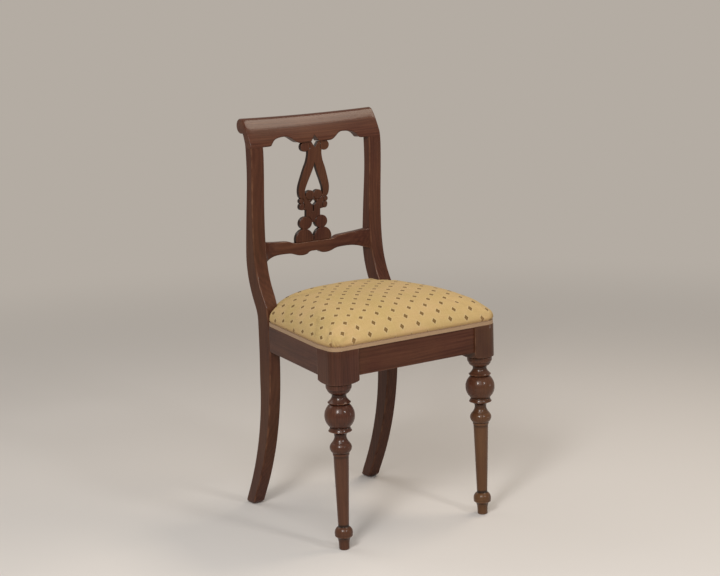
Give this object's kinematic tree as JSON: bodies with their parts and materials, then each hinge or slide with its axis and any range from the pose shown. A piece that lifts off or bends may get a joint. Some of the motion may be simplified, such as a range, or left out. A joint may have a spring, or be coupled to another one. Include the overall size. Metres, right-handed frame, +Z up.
{
  "type": "dining chair",
  "caption": "Wooden scroll back dining chair with turned front legs, sabre back legs, a pierced splat and a domed upholstered seat.",
  "frame": {"origin": "on the floor, under the middle of the chair's bounding box", "axes": "+Z up, +X to the right of someone who looks at the chair's front, the chair faces -Y"},
  "size_m": [0.439, 0.4554, 0.89],
  "materials": {
    "stained_walnut": "dark reddish brown stain under satin to gloss lacquer, fine long grain",
    "raw_beech": "bare pale beech",
    "zinc_screws": "bright zinc plate",
    "seat_plywood": "bare birch plywood",
    "seat_stuffing": "open-cell foam",
    "straw_fabric": "golden straw woven cloth with small staggered diamonds",
    "gimp_braid": "narrow tan woven braid"
  },
  "bodies": {
    "root": {"front_leg_left": "stained_walnut", "front_leg_right": "stained_walnut", "back_post_left": "stained_walnut", "back_post_right": "stained_walnut", "crest_rail": "stained_walnut", "lower_back_rail": "stained_walnut", "back_splat": "stained_walnut", "front_seat_rail": "stained_walnut", "rear_seat_rail": "stained_walnut", "side_seat_rail_left": "stained_walnut", "side_seat_rail_right": "stained_walnut", "front_corner_block_left": "raw_beech", "front_corner_block_right": "raw_beech", "rear_corner_block_left": "raw_beech", "rear_corner_block_right": "raw_beech", "front_rail_dowels": "raw_beech", "side_rail_dowels": "raw_beech", "rear_rail_dowels": "raw_beech", "back_rail_dowels": "raw_beech", "crest_dowels": "raw_beech", "splat_dowels": "raw_beech", "corner_block_screws": "zinc_screws", "seat_screws": "zinc_screws", "seat_board": "seat_plywood", "seat_pad": "seat_stuffing", "seat_cover": "straw_fabric", "seat_gimp": "gimp_braid"}
  },
  "joints": []
}
